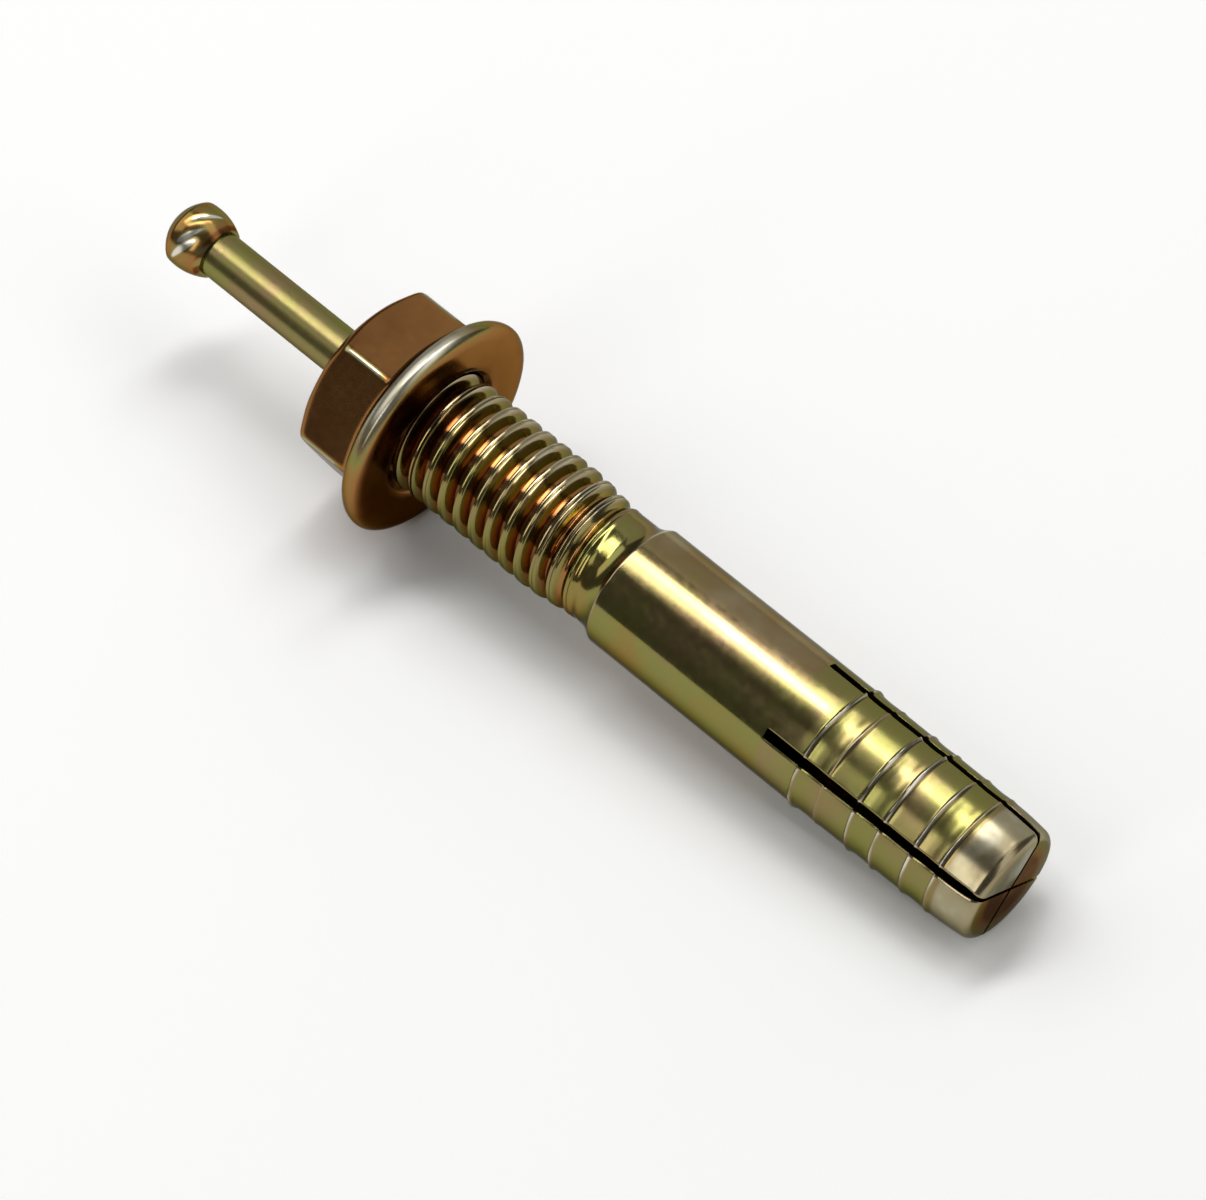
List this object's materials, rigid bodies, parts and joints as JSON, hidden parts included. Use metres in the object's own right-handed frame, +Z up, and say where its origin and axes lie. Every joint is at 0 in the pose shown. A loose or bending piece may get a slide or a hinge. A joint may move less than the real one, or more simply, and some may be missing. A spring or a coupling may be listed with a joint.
{
  "type": "hit anchor bolt",
  "caption": "Plated steel hit anchor: a threaded stud with a slotted, ringed expansion end, a headed drive pin that slides down its bore to spread that end, and a hexagon flange nut.",
  "frame": {"origin": "on the floor, under the centre of the part's box, with the bolt lying at rest on the flange's rim and the lowest ring of its split end", "axes": "+Z up, +X from the pin's head to the split tip as seen from above; the bolt's axis slopes down towards +X"},
  "size_m": [0.0818, 0.0182, 0.0181],
  "materials": {
    "plated_stud": "bright yellow-chromated zinc plating on turned and rolled steel, olive to gold",
    "plated_pin": "bright yellow-chromated zinc plating on drawn wire, yellow-green",
    "plated_nut": "bright yellow-chromated zinc plating on a cold-forged nut, brown to bronze"
  },
  "bodies": {
    "anchor": {"anchor_body": "plated_stud"},
    "pin": {"drive_pin": "plated_pin"},
    "nut": {"flange_nut": "plated_nut"}
  },
  "joints": [
    {"name": "pin_drive", "type": "slide", "parent": "anchor", "child": "pin", "axis": [0.9968, 0, -0.0803], "range_m": [0, 0.01735]},
    {"name": "nut_travel", "type": "slide", "parent": "anchor", "child": "nut", "axis": [0.9968, 0, -0.0803], "range_m": [-0.003, 0.0135]}
  ]
}
